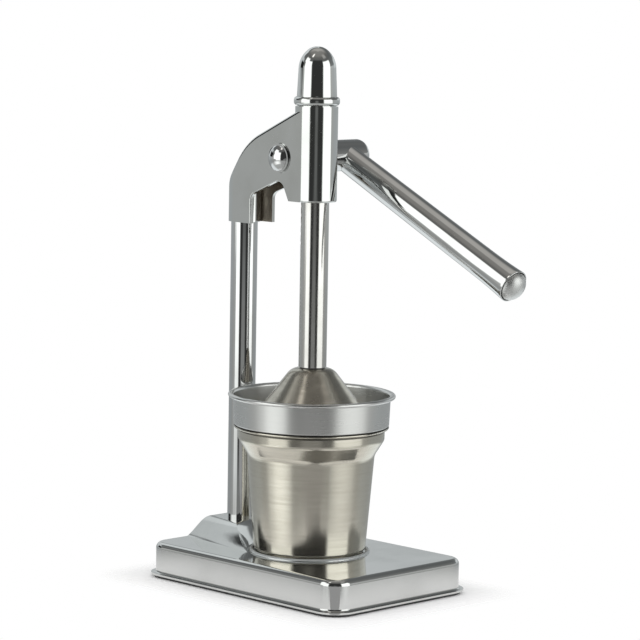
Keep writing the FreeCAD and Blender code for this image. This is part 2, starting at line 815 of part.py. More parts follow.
def make_ram():
    bar = disc(ram_radius, ram_top - ram_bottom, ram_bottom, ram_axis)
    top_edge = [e for e in bar.Edges if e.BoundBox.ZMin > ram_top - 0.01]
    bar = bar.makeChamfer(ram_chamfer, top_edge)
    teeth_moved = math.ceil(ram_travel / tooth_pitch)
    places = [axle_z + tooth_pitch * i for i in range(-teeth_moved - spare_teeth, spare_teeth + 1)]
    flat_low = places[0] - tooth_pitch / 2
    flat_high = places[-1] + tooth_pitch / 2
    flat_corner = Vector(-ram_radius, ram_y + rack_line + tooth_addendum, flat_low)
    flat = Part.makeBox(2 * ram_radius, ram_radius, flat_high - flat_low, flat_corner)
    bore = disc(bell_screw_radius + push_fit, bell_screw_grip + 2, ram_bottom, ram_axis)
    return bar.cut([flat, bore] + [rack_space(z) for z in places])


def make_bell_seat_washer():
    return disc(seat_washer_radius, seat_washer_thick, bell_top, ram_axis, bell_screw_radius + end_play)


def make_press_bell():
    skin = [(bell_flank_radius + bell_lip_flare, bell_lip_z, 0),
            (bell_flank_radius, bell_lip_z + bell_lip_height, bell_flank_round),
            (bell_shoulder_radius, bell_top, bell_shoulder_round),
            (bell_screw_radius + end_play, bell_top, 0)]
    return turned_sheet(skin, bell_sheet)


def make_bell_washer():
    z = bell_top - bell_sheet - bell_washer_thick
    return disc(bell_washer_radius, bell_washer_thick, z, ram_axis, bell_screw_radius + end_play)


def make_bell_screw():
    head_top = bell_top - bell_sheet - bell_washer_thick
    shank = disc(bell_screw_radius, ram_bottom + bell_screw_grip - head_top, head_top, ram_axis)
    head = disc(bell_screw_head_radius, bell_screw_head, head_top - bell_screw_head, ram_axis)
    lower_edge = [e for e in head.Edges if e.BoundBox.ZMax < head_top - bell_screw_head + 0.01]
    head = head.makeFillet(bell_screw_head / 3, lower_edge)
    socket = hexagon(2 * bell_screw_socket, bell_screw_socket, head_top - bell_screw_head, ram_axis)
    return shank.fuse(head).removeSplitter().cut(socket)


# Vessels
def make_cup():
    skin = [(0, base_top, 0), (cup_foot_radius, base_top, cup_foot_round),
            (cup_neck_radius, base_top + cup_neck_rise, cup_neck_round),
            (cup_collar_radius, base_top + cup_collar_rise, cup_collar_round),
            (cup_collar_radius, cup_rim_z + cup_bead - cup_sheet, cup_lip_round),
            (cup_collar_radius + cup_lip_reach, cup_rim_z + cup_bead - cup_sheet, 0)]
    bead = Part.makeTorus(cup_collar_radius + cup_lip_reach, cup_bead, ram_axis + up * cup_rim_z)
    return turned_sheet(skin, cup_sheet).fuse(bead).removeSplitter()


def make_strainer_bowl():
    skin = [(bowl_mouth, bowl_floor_z, 0), (bowl_nest_radius, bowl_floor_z, bowl_nest_round),
            (bowl_nest_radius, bowl_step_z, bowl_neck_round),
            (bowl_step_radius, bowl_step_z, bowl_step_round),
            (bowl_wall_radius, bowl_rim_z + bowl_bead - bowl_sheet, bowl_lip_round),
            (bowl_wall_radius + bowl_lip_reach, bowl_rim_z + bowl_bead - bowl_sheet, 0)]
    bead = Part.makeTorus(bowl_wall_radius + bowl_lip_reach, bowl_bead, ram_axis + up * bowl_rim_z)
    return turned_sheet(skin, bowl_sheet).fuse(bead).removeSplitter()


def make_strainer_cone():
    seat_z = bowl_floor_z + bowl_sheet
    nose_z = seat_z + cone_height
    foot_radius = bowl_mouth - cone_foot_gap
    skin = [(bowl_mouth + cone_flange_lap, seat_z + cone_sheet, 0),
            (foot_radius, seat_z + cone_sheet, cone_foot_round),
            (cone_nose_radius, nose_z, cone_nose_round), (0, nose_z, 0)]
    cone = turned_sheet(skin, cone_sheet)
    slots = []
    for i in range(slot_count):
        corner = Vector(cone_nose_radius, ram_y - slot_width / 2, seat_z + slot_low)
        slot = Part.makeBox(foot_radius, slot_width, slot_high - slot_low, corner)
        slots.append(slot.rotate(ram_axis, up, 360 * i / slot_count))
    return cone.cut(slots)


pieces = {
    "base_shell": make_base_shell,
    "foot_strip": make_foot_strip,
    "stiffener_plate": make_stiffener_plate,
    "column": make_column,
    "column_bolt": make_column_bolt,
    "column_washer": make_column_washer,
    "column_spring_washer": make_spring_washer,
    "column_pin": lambda: column_pin(0),
    "head_casting": make_head_casting,
    "shaft_bushes": make_shaft_bushes,
    "top_cap": make_top_cap,
    "pinion_shaft": make_pinion_shaft,
    "pinion": make_pinion,
    "pinion_key": lambda: key_block(0),
    "axle_washer": make_axle_washer,
    "axle_cap": make_axle_cap,
    "lever_hub": make_lever_hub,
    "hub_set_screw": make_hub_set_screw,
    "lever_rod": make_lever_rod,
    "lever_end_cap": make_lever_end_cap,
    "ram": make_ram,
    "bell_seat_washer": make_bell_seat_washer,
    "press_bell": make_press_bell,
    "bell_washer": make_bell_washer,
    "bell_screw": make_bell_screw,
    "cup": make_cup,
    "strainer_bowl": make_strainer_bowl,
    "strainer_cone": make_strainer_cone,
}

os.makedirs("parts", exist_ok=True)
for name, make in pieces.items():
    shape = make()
    shape.exportStep("parts/" + name + ".step")
    print(name, len(shape.Solids), shape.isValid(), round(shape.Volume, 1))
print("ram travel", round(ram_travel, 2))
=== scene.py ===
import bmesh
import bpy
import math
from mathutils import Matrix, Vector


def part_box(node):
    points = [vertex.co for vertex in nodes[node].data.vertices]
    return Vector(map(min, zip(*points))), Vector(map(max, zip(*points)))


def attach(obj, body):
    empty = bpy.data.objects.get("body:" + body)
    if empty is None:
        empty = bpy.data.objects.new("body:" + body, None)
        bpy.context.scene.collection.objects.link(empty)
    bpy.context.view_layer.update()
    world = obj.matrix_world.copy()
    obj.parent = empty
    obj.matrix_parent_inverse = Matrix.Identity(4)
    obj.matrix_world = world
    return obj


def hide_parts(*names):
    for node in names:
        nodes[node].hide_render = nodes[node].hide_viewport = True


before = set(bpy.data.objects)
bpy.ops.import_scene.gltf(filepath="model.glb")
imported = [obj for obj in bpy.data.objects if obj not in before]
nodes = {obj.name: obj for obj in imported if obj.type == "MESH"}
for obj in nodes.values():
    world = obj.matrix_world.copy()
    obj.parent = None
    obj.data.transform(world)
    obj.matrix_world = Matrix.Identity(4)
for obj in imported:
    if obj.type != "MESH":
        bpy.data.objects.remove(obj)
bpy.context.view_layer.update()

scene = bpy.context.scene
scene.view_settings.view_transform = "Standard"
print("frame loaded:", len(nodes), "nodes")


def middleOf(nodeName):
    low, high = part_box(nodeName)
    return (low + high) / 2


ramAxis = Vector((middleOf("ram").x, middleOf("top_cap").y, 0))


# Camera, at the photograph's angle and frame

photoCamera = {
    "azimuth": -44.66,       # degrees round the press from its front
    "elevation": 7.05,
    "roll": 0.97,
    "distance": 2.0,
    "aim": (0, 0, 0.170),
    "aimPixel": (309.77, 337.39),   # where the aim lies in the 640 pixel frame
    "focalPixels": 2950.4,
    "framePixels": 640,
    "sensor": 36,
    "farthest": 50,
}


def directionAt(azimuth, elevation):
    a, e = math.radians(azimuth), math.radians(elevation)
    return Vector((math.sin(a) * math.cos(e), -math.cos(a) * math.cos(e), math.sin(e)))


def makeCamera(size):
    back = directionAt(size["azimuth"], size["elevation"])
    right = Vector((0, 0, 1)).cross(back).normalized()
    facing = Matrix((right, back.cross(right), back)).transposed()
    facing = facing @ Matrix.Rotation(math.radians(size["roll"]), 3, "Z")
    half = size["framePixels"] / 2
    sideways = math.atan((size["aimPixel"][0] - half) / size["focalPixels"])
    upwards = math.atan((half - size["aimPixel"][1]) / size["focalPixels"])
    facing = facing @ Matrix.Rotation(sideways, 3, "Y") @ Matrix.Rotation(-upwards, 3, "X")
    data = bpy.data.cameras.new("photoCamera")
    data.sensor_fit = "HORIZONTAL"
    data.sensor_width = size["sensor"]
    data.lens = size["focalPixels"] * size["sensor"] / size["framePixels"]
    data.clip_end = size["farthest"]
    camera = bpy.data.objects.new("photoCamera", data)
    place = facing.to_4x4()
    place.translation = Vector(size["aim"]) + back * size["distance"]
    camera.matrix_world = place
    scene.collection.objects.link(camera)
    scene.camera = camera


makeCamera(photoCamera)
print("camera set")


# Node helpers

def addNode(tree, kind, **settings):
    node = tree.nodes.new(kind)
    for key, value in settings.items():
        if key in node.bl_rna.properties:
            setattr(node, key, value)
        else:
            node.inputs[key].default_value = value
    return node


def newMaterial(name):
    material = bpy.data.materials.new(name)
    material.use_nodes = True
    material.node_tree.nodes.clear()
    return material, material.node_tree


def mathNode(tree, operation, first, second=None, clamp=False):
    node = addNode(tree, "ShaderNodeMath", operation=operation, use_clamp=clamp)
    for socket, value in zip(node.inputs, (first, second)):
        if isinstance(value, bpy.types.NodeSocket):
            tree.links.new(value, socket)
        elif value is not None:
            socket.default_value = value
    return node.outputs[0]


def ramp(tree, value, stops):
    node = addNode(tree, "ShaderNodeValToRGB")
    points = node.color_ramp.elements
    while len(points) < len(stops):
        points.new(0.5)
    for point, (place, level) in zip(points, stops):
        point.position = place
        point.color = (level, level, level, 1)
    tree.links.new(value, node.inputs[0])
    return node.outputs[0]


def spread(tree, value, low, high, fromLow=0, fromHigh=1):
    node = addNode(tree, "ShaderNodeMapRange")
    for key, number in zip(("From Min", "From Max", "To Min", "To Max"), (fromLow, fromHigh, low, high)):
        node.inputs[key].default_value = number
    tree.links.new(value, node.inputs["Value"])
    return node.outputs[0]


def smoothStep(tree, value, low, high):
    node = addNode(tree, "ShaderNodeMapRange", interpolation_type="SMOOTHSTEP")
    node.inputs["From Min"].default_value = low
    node.inputs["From Max"].default_value = high
    tree.links.new(value, node.inputs["Value"])
    return node.outputs[0]


def window(tree, value, low, high, soft, softEnd=None):
    # 1 between low and high, with soft ends
    softEnd = softEnd or soft
    rise = smoothStep(tree, value, low - soft, low + soft)
    fall = smoothStep(tree, value, high - softEnd, high + softEnd)
    return mathNode(tree, "SUBTRACT", rise, fall)


def blendTo(tree, base, level, share):
    # base where share is 0, level where share is 1
    node = addNode(tree, "ShaderNodeMix", data_type="FLOAT")
    for socket, value in ((node.inputs[0], share), (node.inputs[2], base), (node.inputs[3], level)):
        if isinstance(value, bpy.types.NodeSocket):
            tree.links.new(value, socket)
        else:
            socket.default_value = value
    return node.outputs[0]


def tint(tree, colour, deep, share):
    # colour where share is 0, deep where share is 1
    mix = addNode(tree, "ShaderNodeMix", data_type="RGBA")
    for socket, hue in ((mix.inputs[6], colour), (mix.inputs[7], deep)):
        if isinstance(hue, bpy.types.NodeSocket):
            tree.links.new(hue, socket)
        else:
            socket.default_value = (*hue, 1)
    tree.links.new(share, mix.inputs[0])
    return mix.outputs[2]


# Floor, backdrop and light

studio = {
    "floorRadius": 0.36,
    "floorSides": 96,
    "floorFade": (0.001, 0.035),     # from the base's edge to where the floor has run out into white
    "floorShown": (0.010, 0.115),    # the same, as the metal shows it
    "floorColour": (0.97, 0.97, 0.97),
    "plainLevel": 0.9,
    "boxAngle": 54,                  # the soft boxes stand this far to each side of the camera
    "boxDistance": 1.7,
    "boxSize": (1.1, 1.5),
    "boxHeight": 0.62,
    "boxRadiance": 1.6,
    "cardReach": (0.007, 0.44),      # grey card on the floor before the base's near corner
    "cardWidth": (0.014, 0.55),
    "cardHeight": 0.0003,
    "cardLevel": 0.40,
    "cornerRound": 0.0135,           # of the base's corner
}


def makeFloor(size):
    sides, radius = size["floorSides"], size["floorRadius"]
    bpy.ops.mesh.primitive_circle_add(vertices=sides, radius=radius, fill_type="NGON")
    floor = bpy.context.object
    floor.name = "floor"
    material, tree = newMaterial("paleFloor")
    # how far a point lies outside the base's outline
    place = addNode(tree, "ShaderNodeTexCoord")
    low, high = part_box("base_shell")
    outside = addNode(tree, "ShaderNodeVectorMath", operation="ABSOLUTE")
    past = addNode(tree, "ShaderNodeVectorMath", operation="SUBTRACT")
    past.inputs[1].default_value = ((high.x - low.x) / 2, (high.y - low.y) / 2, 0)
    beyond = addNode(tree, "ShaderNodeVectorMath", operation="MAXIMUM")
    length = addNode(tree, "ShaderNodeVectorMath", operation="LENGTH")
    tree.links.new(place.outputs["Object"], outside.inputs[0])
    tree.links.new(outside.outputs[0], past.inputs[0])
    tree.links.new(past.outputs[0], beyond.inputs[0])
    tree.links.new(beyond.outputs[0], length.inputs[0])
    path = addNode(tree, "ShaderNodeLightPath")
    fade = smoothStep(tree, length.outputs["Value"], *size["floorFade"])
    shown = smoothStep(tree, length.outputs["Value"], *size["floorShown"])
    fade = blendTo(tree, shown, fade, path.outputs["Is Camera Ray"])
    pale = addNode(tree, "ShaderNodeBsdfDiffuse", Color=(*size["floorColour"], 1))
    clear = addNode(tree, "ShaderNodeBsdfTransparent")
    mix = addNode(tree, "ShaderNodeMixShader")
    out = addNode(tree, "ShaderNodeOutputMaterial")
    tree.links.new(fade, mix.inputs[0])
    tree.links.new(pale.outputs[0], mix.inputs[1])
    tree.links.new(clear.outputs[0], mix.inputs[2])
    tree.links.new(mix.outputs[0], out.inputs[0])
    floor.data.materials.append(material)


def makeWorld(size):
    # white to the camera, in metal and through glass, and a plain even light for all else
    world = bpy.data.worlds.new("studioWorld")
    scene.world = world
    world.use_nodes = True
    tree = world.node_tree
    tree.nodes.clear()
    path = addNode(tree, "ShaderNodeLightPath")
    seen = mathNode(tree, "MAXIMUM", path.outputs["Is Camera Ray"], path.outputs["Is Glossy Ray"])
    seen = mathNode(tree, "MAXIMUM", seen, path.outputs["Is Transmission Ray"])
    level = spread(tree, seen, size["plainLevel"], 1)
    light = addNode(tree, "ShaderNodeBackground", Color=(1, 1, 1, 1))
    out = addNode(tree, "ShaderNodeOutputWorld")
    tree.links.new(level, light.inputs["Strength"])
    tree.links.new(light.outputs[0], out.inputs[0])


def hideFromLight(thing):
    # shown in polished metal only
    thing.visible_camera = False
    thing.visible_diffuse = False
    thing.visible_shadow = False


# What the metal shows of the studio, in degrees round from the camera and up from level.
# A patch counts to both sides unless it names one, and each lies over those before it.
tent = {
    "radius": 3.0,
    "segments": 64,
    "colour": (0.98, 1.0, 0.985),
    "ceilingColour": (1.02, 0.99, 0.94),
    "ceilingFrom": (40, 65),
    "backColour": (0.95, 1.0, 1.015),
    "backFrom": (94, 112),
    "heights": [(-90, 0.46), (-45, 0.5), (-22, 0.58), (-12, 0.38), (-5, 0.38), (0, 0.46), (6, 0.5),
                (13, 0.62), (17, 0.24), (30, 0.2), (44, 0.15), (57, 0.17), (66, 0.26), (90, 0.3)],
    "patches": [
        {"what": "floor behind", "level": 1.0, "round": (107, 200, 12), "rise": (-100, -18, 4)},
        {"what": "back wall", "level": 0.7, "round": (110, 170, 8), "rise": (6, 33, 1.5), "side": -1},
        {"what": "back wall's far end", "level": 0.8, "round": (126, 158, 4), "rise": (8, 25, 3), "side": 1},
        {"what": "doorway", "level": 0.015, "round": (97, 128, 3), "rise": (7.5, 24.5, 1.5), "side": -1},
        {"what": "dark room", "level": 0.042, "round": (-50, 34, 2), "rise": (-100, 46, 5)},
        {"what": "camera", "level": 0.2, "round": (-50, 13, 4), "rise": (-9, 0, 2)},
        {"what": "camera's top", "level": 0.17, "round": (-50, 7, 4), "rise": (0, 6, 2)},
        {"what": "table edge", "level": 0.3, "round": (-50, 16.5, 2.5), "rise": (-100, -3, 2)},
        {"what": "table", "level": 0.26, "round": (-50, 34, 2), "rise": (-100, -8.2, 1)},
        {"what": "near table", "level": 0.46, "round": (-50, 34, 2), "rise": (-100, -13, 2.5)},
        {"what": "soft boxes", "level": 1.6, "round": (37, 85, 2), "rise": (-6.5, 38, 3.5, 2)},
        {"what": "left box's top", "level": 1.6, "round": (60, 92, 4), "rise": (30, 47, 3), "side": -1},
        {"what": "left box's foot", "level": 1.45,
         "round": (43, 81, 15, 19), "rise": (-31, -6.5, 2.5), "side": -1},
        {"what": "right box's foot", "level": 0.9,
         "round": (43, 81, 15, 19), "rise": (-31, -6.5, 2.5), "side": 1},
        {"what": "left box's sill", "level": 0.66,
         "round": (43, 81, 6), "rise": (-14, -7.5, 2.5), "side": -1},
        {"what": "left box's lower side", "level": 0.45,
         "round": (70, 90, 3), "rise": (-13, -0.5, 1.5), "side": -1},
        {"what": "gap by the left box", "level": 0.38,
         "round": (86, 106, 5), "rise": (-16, -5, 3), "side": -1},
        {"what": "strip light", "level": 0.85, "round": (131.5, 200, 2.5), "rise": (28, 46, 2), "side": -1},
        {"what": "end of strip light", "level": 1.15, "round": (176, 200, 2), "rise": (28, 46, 2), "side": 1},
        {"what": "high lamp", "level": 1.8, "round": (42, 58, 5), "rise": (58, 72, 4), "side": -1},
        {"what": "ceiling behind", "level": 0.5, "round": (120, 200, 22), "rise": (58, 95, 12)},
        {"what": "high bounce", "level": 0.45, "round": (50, 80, 8), "rise": (50, 66, 5), "side": 1},
    ],
}


def makeTent(size):
    around = size["segments"]
    bpy.ops.mesh.primitive_uv_sphere_add(segments=around, ring_count=around // 2, radius=size["radius"])
    cloth = bpy.context.object
    cloth.name = "studioTent"
    material, tree = newMaterial("tentCloth")
    place = addNode(tree, "ShaderNodeTexCoord")
    turn = addNode(tree, "ShaderNodeVectorRotate", rotation_type="Z_AXIS")
    turn.inputs["Angle"].default_value = -math.radians(photoCamera["azimuth"])
    tree.links.new(place.outputs["Object"], turn.inputs["Vector"])
    parts = addNode(tree, "ShaderNodeSeparateXYZ")
    tree.links.new(turn.outputs[0], parts.inputs[0])
    ahead = mathNode(tree, "MULTIPLY", parts.outputs["Y"], -1)
    toSide = mathNode(tree, "DEGREES", mathNode(tree, "ARCTAN2", parts.outputs["X"], ahead))
    angles = {0: mathNode(tree, "ABSOLUTE", toSide), 1: toSide, -1: mathNode(tree, "MULTIPLY", toSide, -1)}
    rise = mathNode(tree, "DIVIDE", parts.outputs["Z"], size["radius"])
    rise = mathNode(tree, "DEGREES", mathNode(tree, "ARCSINE", rise))
    stops = [((height + 90) / 180, level) for height, level in size["heights"]]
    glow = ramp(tree, spread(tree, rise, 0, 1, -90, 90), stops)
    for patch in size["patches"]:
        across = window(tree, angles[patch.get("side", 0)], *patch["round"])
        upright = window(tree, rise, *patch["rise"])
        glow = blendTo(tree, glow, patch["level"], mathNode(tree, "MULTIPLY", across, upright))
    light = addNode(tree, "ShaderNodeEmission")
    back = smoothStep(tree, angles[0], *size["backFrom"])
    ceiling = smoothStep(tree, rise, *size["ceilingFrom"])
    hue = tint(tree, size["colour"], size["backColour"], back)
    tree.links.new(tint(tree, hue, size["ceilingColour"], ceiling), light.inputs["Color"])
    out = addNode(tree, "ShaderNodeOutputMaterial")
    tree.links.new(glow, light.inputs["Strength"])
    tree.links.new(light.outputs[0], out.inputs[0])
    material.cycles.emission_sampling = "NONE"
    cloth.data.materials.append(material)
    hideFromLight(cloth)


def makeGreyCard(size):
    toCamera = directionAt(photoCamera["azimuth"], 0)
    sideways = Vector((-toCamera.y, toCamera.x, 0))
    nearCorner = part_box("base_shell")[0] + Vector((1, 1, 0)) * size["cornerRound"]
    nearCorner += toCamera * size["cornerRound"]
    nearCorner.z = size["cardHeight"]
    corners = []
    for reach, width, sides in zip(size["cardReach"], size["cardWidth"], ((-1, 1), (1, -1))):
        corners += [nearCorner + toCamera * reach + sideways * width / 2 * side for side in sides]
    mesh = bpy.data.meshes.new("greyCard")
    mesh.from_pydata(corners, [], [(0, 1, 2, 3)])
    card = bpy.data.objects.new("greyCard", mesh)
    scene.collection.objects.link(card)
    material, tree = newMaterial("greyCard")
    grey = addNode(tree, "ShaderNodeEmission", Strength=size["cardLevel"])
    out = addNode(tree, "ShaderNodeOutputMaterial")
    tree.links.new(grey.outputs[0], out.inputs[0])
    material.cycles.emission_sampling = "NONE"
    mesh.materials.append(material)
    hideFromLight(card)


def makeSoftBoxes(size):
    width, height = size["boxSize"]
    for side in (-1, 1):
        data = bpy.data.lights.new("softBox", "AREA")
        data.shape = "RECTANGLE"
        data.size = width
        data.size_y = height
        data.energy = size["boxRadiance"] * math.pi * width * height
        lamp = bpy.data.objects.new("softBox", data)
        out = directionAt(photoCamera["azimuth"] + side * size["boxAngle"], 0)
        lamp.location = out * size["boxDistance"] + Vector((0, 0, size["boxHeight"]))
        lamp.rotation_euler = (out * -1).to_track_quat("-Z", "Y").to_euler()
        lamp.visible_glossy = False          # the tent shows the boxes, with soft edges
        scene.collection.objects.link(lamp)


makeFloor(studio)
makeWorld(studio)
makeTent(tent)
makeGreyCard(studio)
makeSoftBoxes(studio)
print("studio lit")


# Finishes

# The noise runs from 0 to 1: a mark starts at the first number and is full at the second
marks = {
    "haze": (0.42, 0.72),
    "hairline": (0.56, 0.78),
    "stain": (0.45, 0.75),
    "patch": (0.35, 0.7),
    "streak": (0.32, 0.68),
    "middle": (0.3, 0.7),            # where roughness goes from its low to its high value
    "streakShare": 0.6,              # most that a streak's own colour counts
    "stainShare": 0.3,
    "ringStretch": 0.4,              # rings are longer than streaks
    "coneShare": 0.4,                # how much of the way out from the axis counts as way along the sheet
}


def finishStart(name):
    material, tree = newMaterial(name)
    place = addNode(tree, "ShaderNodeTexCoord")
    shader = addNode(tree, "ShaderNodeBsdfPrincipled")
    out = addNode(tree, "ShaderNodeOutputMaterial")
    tree.links.new(shader.outputs[0], out.inputs[0])
    return material, tree, place.outputs["Object"], shader


def noise(tree, place, scale, detail, stretch=(1, 1, 1)):
    turn = addNode(tree, "ShaderNodeMapping", Scale=stretch)
    tree.links.new(place, turn.inputs["Vector"])
    cloud = addNode(tree, "ShaderNodeTexNoise", Scale=scale, Detail=detail)
    tree.links.new(turn.outputs[0], cloud.inputs["Vector"])
    return cloud.outputs[0]


def addBump(tree, shader, height, depth):
    bump = addNode(tree, "ShaderNodeBump", Distance=depth, Strength=1)
    if shader.inputs["Normal"].links:
        tree.links.new(shader.inputs["Normal"].links[0].from_socket, bump.inputs["Normal"])
    tree.links.new(height, bump.inputs["Height"])
    tree.links.new(bump.outputs[0], shader.inputs["Normal"])


def polishedMetal(name, finish):
    # mirror plating: slow waves from polishing, a thin haze in patches, hairline scratches
    material, tree, place, shader = finishStart(name)
    shader.inputs["Metallic"].default_value = 1
    haze = noise(tree, place, finish["hazeScale"], detail=5)
    hair = noise(tree, place, finish["hairScale"], detail=2, stretch=finish["hairStretch"])
    patchy = smoothStep(tree, haze, *marks["haze"])
    lines = smoothStep(tree, hair, *marks["hairline"])
    low, high = finish["roughness"]
    rough = blendTo(tree, low, high, patchy)
    rough = mathNode(tree, "ADD", rough, mathNode(tree, "MULTIPLY", lines, finish["hairRough"]))
    tree.links.new(rough, shader.inputs["Roughness"])
    tree.links.new(tint(tree, finish["colour"], finish["hazeColour"], patchy), shader.inputs["Base Color"])
    addBump(tree, shader, noise(tree, place, finish["waveScale"], detail=1), finish["waveDepth"])
    return material


def aboutRam(tree):
    # height of a point, how far it lies from the ram's axis, and its way out from there
    place = addNode(tree, "ShaderNodeTexCoord")
    centre = addNode(tree, "ShaderNodeVectorMath", operation="SUBTRACT")
    centre.inputs[1].default_value = ramAxis
    tree.links.new(place.outputs["Object"], centre.inputs[0])
    parts = addNode(tree, "ShaderNodeSeparateXYZ")
    tree.links.new(centre.outputs[0], parts.inputs[0])
    flat = addNode(tree, "ShaderNodeVectorMath", operation="MULTIPLY")
    flat.inputs[1].default_value = (1, 1, 0)
    tree.links.new(centre.outputs[0], flat.inputs[0])
    reach = addNode(tree, "ShaderNodeVectorMath", operation="LENGTH")
    tree.links.new(flat.outputs[0], reach.inputs[0])
    return parts.outputs["Z"], reach.outputs["Value"], flat.outputs[0]


def spunPlace(tree, slow):
    # slow round the ram's axis and quick along the sheet, so that marks run round the piece
    height, reach, out = aboutRam(tree)
    heading = addNode(tree, "ShaderNodeVectorMath", operation="NORMALIZE")
    tree.links.new(out, heading.inputs[0])
    way = addNode(tree, "ShaderNodeSeparateXYZ")
    tree.links.new(heading.outputs[0], way.inputs[0])
    spun = addNode(tree, "ShaderNodeCombineXYZ")
    for axis in "XY":
        tree.links.new(mathNode(tree, "MULTIPLY", way.outputs[axis], slow), spun.inputs[axis])
    along = mathNode(tree, "ADD", height, mathNode(tree, "MULTIPLY", reach, marks["coneShare"]))
    tree.links.new(along, spun.inputs["Z"])
    return spun.outputs[0]


def spunSteel(name, finish):
    # steel brushed round its axis: streaks, faint rings, and stains from washing
    material, tree, place, shader = finishStart(name)
    shader.inputs["Metallic"].default_value = 1
    shader.inputs["Anisotropic"].default_value = finish["anisotropic"]
    shader.inputs["Anisotropic Rotation"].default_value = 0.25      # a quarter turn from the tangent
    tangent = addNode(tree, "ShaderNodeTangent", direction_type="RADIAL", axis="Z")
    tree.links.new(tangent.outputs[0], shader.inputs["Tangent"])
    spun = spunPlace(tree, finish["streakLength"])
    longer = marks["ringStretch"]
    streaks = noise(tree, spun, 1, detail=4, stretch=(1, 1, finish["streakFine"]))
    rings = noise(tree, spun, 1, detail=3, stretch=(longer, longer, finish["ringFine"]))
    stains = noise(tree, place, finish["stainScale"], detail=4)
    patchy = smoothStep(tree, stains, *marks["stain"])
    rough = spread(tree, streaks, *finish["roughness"], *marks["middle"])
    rough = mathNode(tree, "ADD", rough, mathNode(tree, "MULTIPLY", patchy, finish["stainRough"]))
    tree.links.new(rough, shader.inputs["Roughness"])
    stained = mathNode(tree, "MULTIPLY", patchy, marks["stainShare"])
    share = spread(tree, streaks, 0, marks["streakShare"], *marks["streak"])
    share = mathNode(tree, "ADD", share, stained, clamp=True)
    tree.links.new(tint(tree, finish["colour"], finish["streakColour"], share), shader.inputs["Base Color"])
    addBump(tree, shader, streaks, finish["streakDepth"])
    addBump(tree, shader, rings, finish["ringDepth"])
    return material


def plainSurface(name, finish):
    # a dull surface with a fine grain and slow patches
    material, tree, place, shader = finishStart(name)
    shader.inputs["Metallic"].default_value = finish["metallic"]
    patches = noise(tree, place, finish["patchScale"], detail=4)
    grain = noise(tree, place, finish["grainScale"], detail=2)
    rough = spread(tree, patches, *finish["roughness"], *marks["middle"])
    tree.links.new(rough, shader.inputs["Roughness"])
    patchy = smoothStep(tree, patches, *marks["patch"])
    tree.links.new(tint(tree, finish["colour"], finish["patchColour"], patchy), shader.inputs["Base Color"])
    addBump(tree, shader, grain, finish["grainDepth"])
    return material


def shaderOf(material):
    return next(node for node in material.node_tree.nodes if node.type == "BSDF_PRINCIPLED")


def overlay(material, share, colour=None, roughness=None):
    # another colour or roughness where share is 1
    tree, shader = material.node_tree, shaderOf(material)
    if colour:
        before = shader.inputs["Base Color"].links[0].from_socket
        tree.links.new(tint(tree, before, colour, share), shader.inputs["Base Color"])
    if roughness is not None:
        before = shader.inputs["Roughness"].links[0].from_socket
        tree.links.new(blendTo(tree, before, roughness, share), shader.inputs["Roughness"])


def markBand(material, band):
    # a band at its own height and reach: painted shade in a seam, or the satin of a rolled bead
    tree = material.node_tree
    height, reach = aboutRam(tree)[:2]
    share = window(tree, height, *band["height"], band["soft"])
    share = mathNode(tree, "MULTIPLY", share, window(tree, reach, *band["reach"], band["soft"]))
    share = mathNode(tree, "MULTIPLY", share, band["share"])
    overlay(material, share, band.get("colour"), band.get("roughness"))


def hollowShadeAndSkin(material, finish):
    # inside the hollow casting, on faces that look towards its middle plane: a rougher skin, and a darker
    # brown colour that is painted shade
    tree = material.node_tree
    place = addNode(tree, "ShaderNodeTexCoord")
    spot = addNode(tree, "ShaderNodeSeparateXYZ")
    facing = addNode(tree, "ShaderNodeSeparateXYZ")
    tree.links.new(place.outputs["Object"], spot.inputs[0])
    tree.links.new(place.outputs["Normal"], facing.inputs[0])
    inward = mathNode(tree, "MULTIPLY", spot.outputs["X"], facing.outputs["X"])
    share = smoothStep(tree, inward, *finish["inward"])
    skin = noise(tree, place.outputs["Object"], finish["skinScale"], detail=5)
    rough = spread(tree, skin, *finish["roughness"], *marks["middle"])
    overlay(material, share, finish["colour"], rough)


chromeBar = polishedMetal("chromeBar", {
    "colour": (0.67, 0.68, 0.68), "hazeColour": (0.62, 0.62, 0.61), "roughness": (0.035, 0.075),
    "hazeScale": 30, "hairScale": 60, "hairStretch": (30, 30, 1), "hairRough": 0.05,
    "waveScale": 55, "waveDepth": 0.00002,
})
groundRam = polishedMetal("groundRam", {
    "colour": (0.68, 0.67, 0.65), "hazeColour": (0.61, 0.60, 0.57), "roughness": (0.10, 0.16),
    "hazeScale": 30, "hairScale": 70, "hairStretch": (40, 40, 1), "hairRough": 0.12,
    "waveScale": 60, "waveDepth": 0.00003,
})
chromeCasting = polishedMetal("chromeCasting", {
    "colour": (0.67, 0.68, 0.67), "hazeColour": (0.61, 0.62, 0.60), "roughness": (0.05, 0.10),
    "hazeScale": 26, "hairScale": 90, "hairStretch": (1, 6, 1), "hairRough": 0.04,
    "waveScale": 48, "waveDepth": 0.00005,
})
# darker brown painted shade on the inner faces of the hollow, with a rougher skin
hollowShadeAndSkin(chromeCasting, {
    "colour": (0.42, 0.37, 0.31), "roughness": (0.28, 0.5), "skinScale": 120, "inward": (-0.0015, -0.004),
})
chromeLever = polishedMetal("chromeLever", {
    "colour": (0.675, 0.68, 0.675), "hazeColour": (0.61, 0.61, 0.605), "roughness": (0.04, 0.09),
    "hazeScale": 34, "hairScale": 70, "hairStretch": (8, 1, 2), "hairRough": 0.05,
    "waveScale": 34, "waveDepth": 0.00013,
})
satinCap = polishedMetal("satinCap", {
    "colour": (0.68, 0.685, 0.675), "hazeColour": (0.63, 0.63, 0.62), "roughness": (0.42, 0.46),
    "hazeScale": 60, "hairScale": 160, "hairStretch": (1, 3, 1), "hairRough": 0.04,
    "waveScale": 120, "waveDepth": 0.000003,
})
